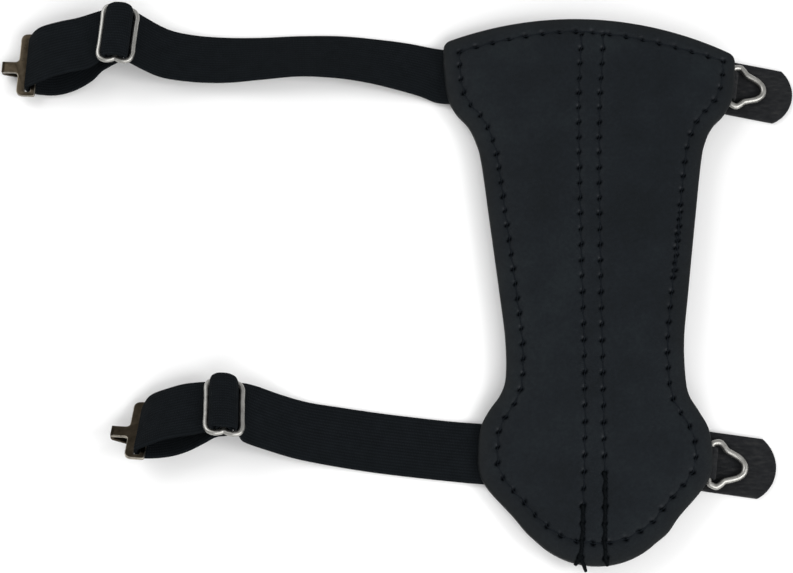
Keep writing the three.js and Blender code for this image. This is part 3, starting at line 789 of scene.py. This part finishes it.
def dome(matrix, slip):
    """Stations of the strap's fat fold over the slider's middle bar, which swells more to the back."""
    out = []
    for x, z, far, near in FOLD + [(-x, *rest) for x, *rest in FOLD[-2::-1]]:
        place = matrix[:3, :3] @ (x, slip + (far - near) / 2, z) + matrix[:3, 3]
        out.append((place, matrix[:3, 1], far + near + 2 * slip))
    return out


def free_run(rows):
    out = []
    for i, (x, y, lift, roll) in enumerate(rows):
        before, after = rows[max(i - 1, 0)], rows[min(i + 1, len(rows) - 1)]
        yaw = math.atan((after[1] - before[1]) / (after[0] - before[0]))
        r = math.radians(roll)
        z = SURFACE + lift + STRAP["width"] / 2 * math.sin(r) + STRAP["thick"] / 2 * math.cos(r)
        across = np.array([-math.sin(yaw) * math.cos(r), math.cos(yaw) * math.cos(r), -math.sin(r)])
        out.append((np.array([x, y, z]), across, STRAP["width"]))
    return out


def sewn_run(edge):
    x, y, yaw = edge
    along = np.array([math.cos(math.radians(yaw)), math.sin(math.radians(yaw))])
    square = np.array([-along[1], along[0]]) * STRAP["width"] / 2
    out = []
    for i in range(4):
        spot = np.array([x, y]) + along * STRAP["sewn"] * (1 - i / 3)
        far, near = (
            np.append(p, underside(*p) - SEAT - STRAP["thick"] / 2) for p in (spot + square, spot - square)
        )
        out.append(((far + near) / 2, unit(far - near), STRAP["width"]))
    return out


def band(stations, thick, across_points, rib_height=0.0):
    """A band through stations of middle, direction across and width, with its UV in metres and its length."""
    middle = catmull([s[0] for s in stations], BAND["steps"])
    lean = unit(catmull([s[1] for s in stations], BAND["steps"], 0))
    at = np.linspace(0, len(stations) - 1, len(middle))
    half = np.interp(at, range(len(stations)), [s[2] / 2 for s in stations])
    along = unit(np.gradient(middle, axis=0))
    face = unit(np.cross(along, lean))
    s = np.sin(np.linspace(-math.pi / 2, math.pi / 2, across_points))
    s = np.sign(s) * np.abs(s) ** BAND["spread"]
    up = thick / 2 * (1 - np.abs(s) ** BAND["square"]) ** 0.5
    rib = rib_height * np.cos(2 * math.pi * BAND["ribs"] * s) * (1 - np.abs(s) ** 6)
    profile = np.concatenate([np.stack([s, -up - rib], 1), np.stack([s, up + rib], 1)[::-1][1:-1]])
    length = np.concatenate([[0], np.cumsum(np.linalg.norm(np.diff(middle, axis=0), axis=1))])
    rings = [
        m + np.outer(profile[:, 0] * h, a) + np.outer(profile[:, 1], f)
        for m, a, f, h in zip(middle, lean, face, half)
    ]
    uv = [np.column_stack([profile[:, 0] * h, np.full(len(profile), d)]) / 1000 for h, d in zip(half, length)]
    return sweep(rings), np.vstack(uv), length[-1]


def strap(level):
    route = ROUTES[level]
    slider, hook = slider_frame(level), frame_of(route["hook"])
    half = STRAP["thick"] / 2
    under = SLIDER["wire"] / 2 + SLIDER["gap"] + half
    bar = SLIDER["spacing"] / 2
    rise = SLIDER["rise"]
    rear = math.hypot(HOOK["rear"], HOOK["thick"] / 2) + HOOK["snug"] + half
    wide, narrow, entering = STRAP["width"], STRAP["gathered"], STRAP["entering"]
    before, inner, after = route["slips"]
    stations = [
        *sewn_run(route["edge"]),
        *free_run(route["to_slider"]),
        *bend(slider, bar, under, (SLIDER["enter"], 180 + rise), 3, (entering, narrow), (before, inner)),
        *dome(slider, inner),
        *bend(slider, -bar, under, (360 - rise, SLIDER["leave"]), 3, (narrow, entering), (inner, after)),
        *free_run(route["to_hook"]),
        *bend(hook, -HOOK["lead"], rear, HOOK["wrap"], 6, (STRAP["hooked"], wide), (HOOK["drift"], 0)),
        *free_run(route["back"]),
        *bend(slider, 0, under + SLIDER["slack"], SLIDER["tuck"], 8, (STRAP["folded"], STRAP["folded"])),
    ]
    part, uv, length = band(stations, STRAP["thick"], STRAP["points"], STRAP["rib"])
    piece = add(f"elastic_{level}", part, ELASTIC, f"strap_{level}", uv, 60)


def slider(level):
    half = [(-x, y) for x, y in SLIDER_QUARTER[::-1]] + SLIDER_QUARTER[1:]
    longer, slope, _ = ROUTES[level]["loop"]
    far = [(x, y + longer - slope * x) for x, y in half]
    loop = far + [(-x, -y) for x, y in half]
    loop = catmull([(x, y, 0) for x, y in loop], 8, closed=True)
    wire = tube(loop, SLIDER["wire"] / 2, WIRE_SIDES, closed=True)
    end = SLIDER_QUARTER[0][1]
    bar = tube([(0, y, 0) for y in np.linspace(-end, end + longer, 9)], SLIDER["wire"] / 2, WIRE_SIDES)
    part = moved(join(wire, bar), slider_frame(level))
    add(f"slider_wire_{level}", part, NICKEL, f"slider_{level}")


def plate(loops, thick, rim):
    """A flat plate with rounded rims, cut to plan loops, as vertices and faces."""
    curve = bpy.data.curves.new("plate", "CURVE")
    curve.dimensions = "2D"
    curve.fill_mode = "BOTH"
    curve.extrude = thick / 2 - rim
    curve.bevel_depth = rim
    curve.bevel_resolution = 3
    curve.offset = -rim
    for loop in loops:
        spline = curve.splines.new("POLY")
        spline.points.add(len(loop) - 1)
        for point, (x, y) in zip(spline.points, loop):
            point.co = (x, y, 0, 1)
        spline.use_cyclic_u = True
    shape = bpy.data.objects.new("plate", curve)
    mesh = bpy.data.meshes.new_from_object(shape)
    work = bmesh.new()
    work.from_mesh(mesh)
    bmesh.ops.remove_doubles(work, verts=work.verts, dist=1e-4)
    work.verts.index_update()
    vertices = np.array([tuple(v.co) for v in work.verts])
    faces = [tuple(v.index for v in f.verts) for f in work.faces]
    work.free()
    bpy.data.meshes.remove(mesh)
    bpy.data.objects.remove(shape)
    bpy.data.curves.remove(curve)
    return vertices, faces


def turn_corner(a, b, c, steps=7):
    t = np.linspace(0, 1, steps)[:, None]
    a, b, c = (np.array(p, float) for p in (a, b, c))
    return (a * (1 - t) ** 2 + 2 * b * t * (1 - t) + c * t**2).tolist()


def hook(level):
    h = HOOK
    low, high = h["offset"] - h["tongue"] / 2, h["offset"] + h["tongue"] / 2
    n, f, rear, tip = h["length"], h["front"], h["rear"], h["tip"]
    fr, rr, br, tr, sr = (h[f"{place}_round"] for place in ("front", "root", "rear", "tip", "slot"))
    outer = [
        *turn_corner((rear, br - n), (rear, -n), (rear - br, -n)),
        *turn_corner((fr - f, -n), (-f, -n), (-f, fr - n)),
        *turn_corner((-f, low - rr), (-f, low), (-f - rr, low)),
        *turn_corner((tr - tip, low), (-tip, low), (-tip, low + tr), 4),
        *turn_corner((-tip, high - tr), (-tip, high), (tr - tip, high), 4),
        *turn_corner((-f - rr, high), (-f, high), (-f, high + rr)),
        *turn_corner((-f, n - fr), (-f, n), (fr - f, n)),
        *turn_corner((rear - br, n), (rear, n), (rear, n - br)),
    ]
    s, sf = h["slot"], h["slot_front"]
    slot = [
        *turn_corner((-sf, sr - s), (-sf, -s), (sr - sf, -s), 5),
        *turn_corner((-rear - sr, -s), (-rear, -s), (-rear, sr - s), 5),
        *turn_corner((-rear, s - sr), (-rear, s), (-rear - sr, s), 5),
        *turn_corner((sr - sf, s), (-sf, s), (-sf, s - sr), 5),
    ]
    flat = plate([outer[::-1], slot], h["thick"], h["rim"])
    lip = plate([[(-x, z) for x, z in LIP]], h["lip"], h["lip_rim"])
    upright = Matrix.Translation((0, h["offset"], 0)) @ Matrix.Rotation(math.pi / 2, 4, "X")
    part = moved(join(flat, moved(lip, upright)), frame_of(ROUTES[level]["hook"]))
    # The plate's rim points, where the steel's highlight is painted.
    painted_highlight = {"painted_highlight": np.append(np.abs(flat[0][:, 2]) < h["thick"] / 2 - 0.01, np.zeros(len(lip[0])))}
    add(f"hook_steel_{level}", part, STEEL, f"hook_{level}", sharp=50, fields=painted_highlight)


# Tabs, eyes and keepers


def height_along(line, out):
    x, y, yaw = line
    return underside(x + out * math.cos(math.radians(yaw)), y + out * math.sin(math.radians(yaw)))


def bar_height(line):
    return height_along(line, 0) - SEAT - KEEPER["thick"] - WIRE_GAP - EYE["wire"] / 2


def on_line(line, z=0.0, pitch=0.0):
    x, y, yaw = line
    place = Matrix.Translation((x, y, z)) @ Matrix.Rotation(math.radians(yaw), 4, "Z")
    return place @ Matrix.Rotation(pitch, 4, "Y")


def eye(level):
    line = ROUTES[level]["eye"]
    half = [(x, y, 0) for x, y in EYE_HALF]
    loop = np.array(half + [(x, -y, 0) for x, y, _ in half[1:-1]][::-1])
    wire = tube(catmull(loop, 8, closed=True), EYE["wire"] / 2, WIRE_SIDES, closed=True)
    height = bar_height(line)
    pitch = math.asin((height - TAB["thick"] - SEAT - EYE["wire"] / 2) / EYE["reach"])
    add(f"eye_wire_{level}", moved(wire, on_line(line, height, pitch)), NICKEL, f"eye_{level}")


KEEPER_DEPTH = 2 * SEAT + 1.5 * KEEPER["thick"]


def keeper(level):
    line = ROUTES[level]["eye"]
    radius = EYE["wire"] / 2 + WIRE_GAP + KEEPER["thick"] / 2
    height = bar_height(line)
    sewn = -KEEPER["sewn"]
    low = height_along(line, sewn) - KEEPER_DEPTH
    path = [
        *((x, height_along(line, x) - SEAT - KEEPER["thick"] / 2) for x in (sewn, sewn / 2)),
        *arc(0, height, radius, KEEPER["wrap"], -KEEPER["wrap"], 8),
        (sewn / 2, height - radius + (low - height + radius) * KEEPER["sag"]),
        (sewn, low),
    ]
    stations = [(np.array([x, 0, z]), np.array([0, 1.0, 0]), KEEPER["width"]) for x, z in path]
    part, _, _ = band(stations, KEEPER["thick"], KEEPER["points"])
    add(f"keeper_strip_{level}", moved(part, on_line(line)), SUEDE, f"eye_keeper_{level}", sharp=60)


def tab(level):
    line = ROUTES[level]["tab"]
    half = TAB["width"] / 2
    centre = TAB["straight"] - math.sqrt(TAB["radius"] ** 2 - half**2)
    seat = height_along(line, -KEEPER["sewn"]) - KEEPER_DEPTH - KEEPER["thick"] / 2
    rise = seat - TAB["seat"] - TAB["thick"]
    columns, rows = 90, 56
    side = half * np.sin(np.linspace(-math.pi / 2, math.pi / 2, rows + 1))
    t = (1 - np.cos(np.linspace(0, math.pi, columns + 1))) / 2
    end = centre + np.sqrt(TAB["radius"] ** 2 - side**2)
    out = -TAB["sewn"] + np.outer(t, end + TAB["sewn"])
    across = np.broadcast_to(side, out.shape)
    edge = np.minimum.reduce([half - np.abs(across), end - out, out + TAB["sewn"]])
    rim = RIM["tab"]
    over = rim - np.sqrt(np.maximum(rim**2 - np.clip(rim - edge, 0, rim) ** 2, 0))
    low = rise * (np.clip(TAB["flat"] - out, 0, None) / (TAB["flat"] + KEEPER["sewn"])) ** 2
    seed = 0.6 if level == "upper" else 2.1
    rough = 0.05 * np.sin(out * 1.9 + 2.3 * np.sin(across * 0.9 + seed))
    rough += 0.04 * np.sin(across * 3.1 + 1.7 * np.sin(out * 1.3 - seed))
    top = low + TAB["thick"] - over + rough * smooth_step(edge / 1.2) - 0.03
    bottom = low + 0.5 * over
    count = out.size
    vertices = np.vstack([np.column_stack([out.ravel(), across.ravel(), z.ravel()]) for z in (top, bottom)])
    at = np.arange(count).reshape(out.shape)
    quads = np.stack([at[:-1, :-1], at[1:, :-1], at[1:, 1:], at[:-1, 1:]], axis=-1).reshape(-1, 4).tolist()
    border = np.concatenate([at[:, 0], at[-1, 1:], at[-2::-1, -1], at[0, -2:0:-1]]).tolist()
    faces = [tuple(q) for q in quads] + [tuple(i + count for i in q[::-1]) for q in quads]
    faces += [(a, a + count, b + count, b) for a, b in zip(border, border[1:] + border[:1])]
    part = moved((vertices, faces), on_line(line))
    add(f"tab_leather_{level}", part, SUEDE, f"tab_{level}", sharp=50)


panel_part, panel_fields = panel()
add("panel_leather", panel_part, LEATHER, "body_panel", fields=panel_fields)
single, double = stitching()
add("stitching", single, SINGLE_THREAD, sharp=60)
add("thread_tails", join(double, thread_tails()), SHADED_DOUBLED_THREAD, sharp=60)
for level in ROUTES:
    strap(level)
    slider(level)
    hook(level)
    eye(level)
    keeper(level)
    tab(level)


# Surface, light and camera
FLOOR = {"half": 3.0, "height": -0.0001}


def floor():
    s = Shader("pale_floor", Roughness=0.9, Specular_IOR_Level=0.1)
    s.into("Base Color", s.grey(s.noise((3, 3, 3), 2), 0.86, 0.88, 0.2, 0.8))
    mesh = bpy.data.meshes.new("floor")
    size, z = FLOOR["half"], FLOOR["height"]
    corners = [(-size, -size, z), (size, -size, z), (size, size, z), (-size, size, z)]
    mesh.from_pydata(corners, [], [(0, 1, 2, 3)])
    mesh.materials.append(s.material)
    ground = bpy.data.objects.new("floor", mesh)
    bpy.context.scene.collection.objects.link(ground)


def softbox(name, place, target, size, watts):
    data = bpy.data.lights.new(name, "AREA")
    data.shape = "RECTANGLE"
    data.size, data.size_y = size
    data.energy = watts
    lamp = bpy.data.objects.new(name, data)
    lamp.location = place
    lamp.rotation_euler = (Vector(target) - Vector(place)).to_track_quat("-Z", "Y").to_euler()
    bpy.context.scene.collection.objects.link(lamp)


floor()
softbox("key", (0.3, -0.87, 0.85), (0, 0, 0), (1.1, 0.7), 9)
softbox("right", (0.82, -0.26, 0.76), (0.1, 0, 0), (0.4, 0.4), 4.6)
softbox("fill_left", (-0.8, 0.45, 0.8), (0, 0, 0), (0.8, 0.9), 6.7)
world = bpy.data.worlds.new("studio")
world.use_nodes = True
world.node_tree.nodes["Background"].inputs["Color"].default_value = (1, 1, 1, 1)
world.node_tree.nodes["Background"].inputs["Strength"].default_value = 0.52
bpy.context.scene.world = world
bpy.context.scene.view_settings.view_transform = "Standard"

LOOK_AT = (np.array([-61.59, -1.24, 0]) + SHIFT) / 1000
BACK = Vector((0.00686, -0.34195, 0.93969)).normalized()
DISTANCE = 0.616
camera = bpy.data.objects.new("camera", bpy.data.cameras.new("camera"))
camera.data.lens = 87.92
camera.data.sensor_width = 36
camera.data.clip_start = 0.01
camera.location = Vector(LOOK_AT) + BACK * DISTANCE
right = Vector((0, 0, 1)).cross(BACK).normalized()
camera.rotation_euler = Matrix((right, BACK.cross(right), BACK)).transposed().to_euler()
bpy.context.scene.collection.objects.link(camera)
bpy.context.scene.camera = camera
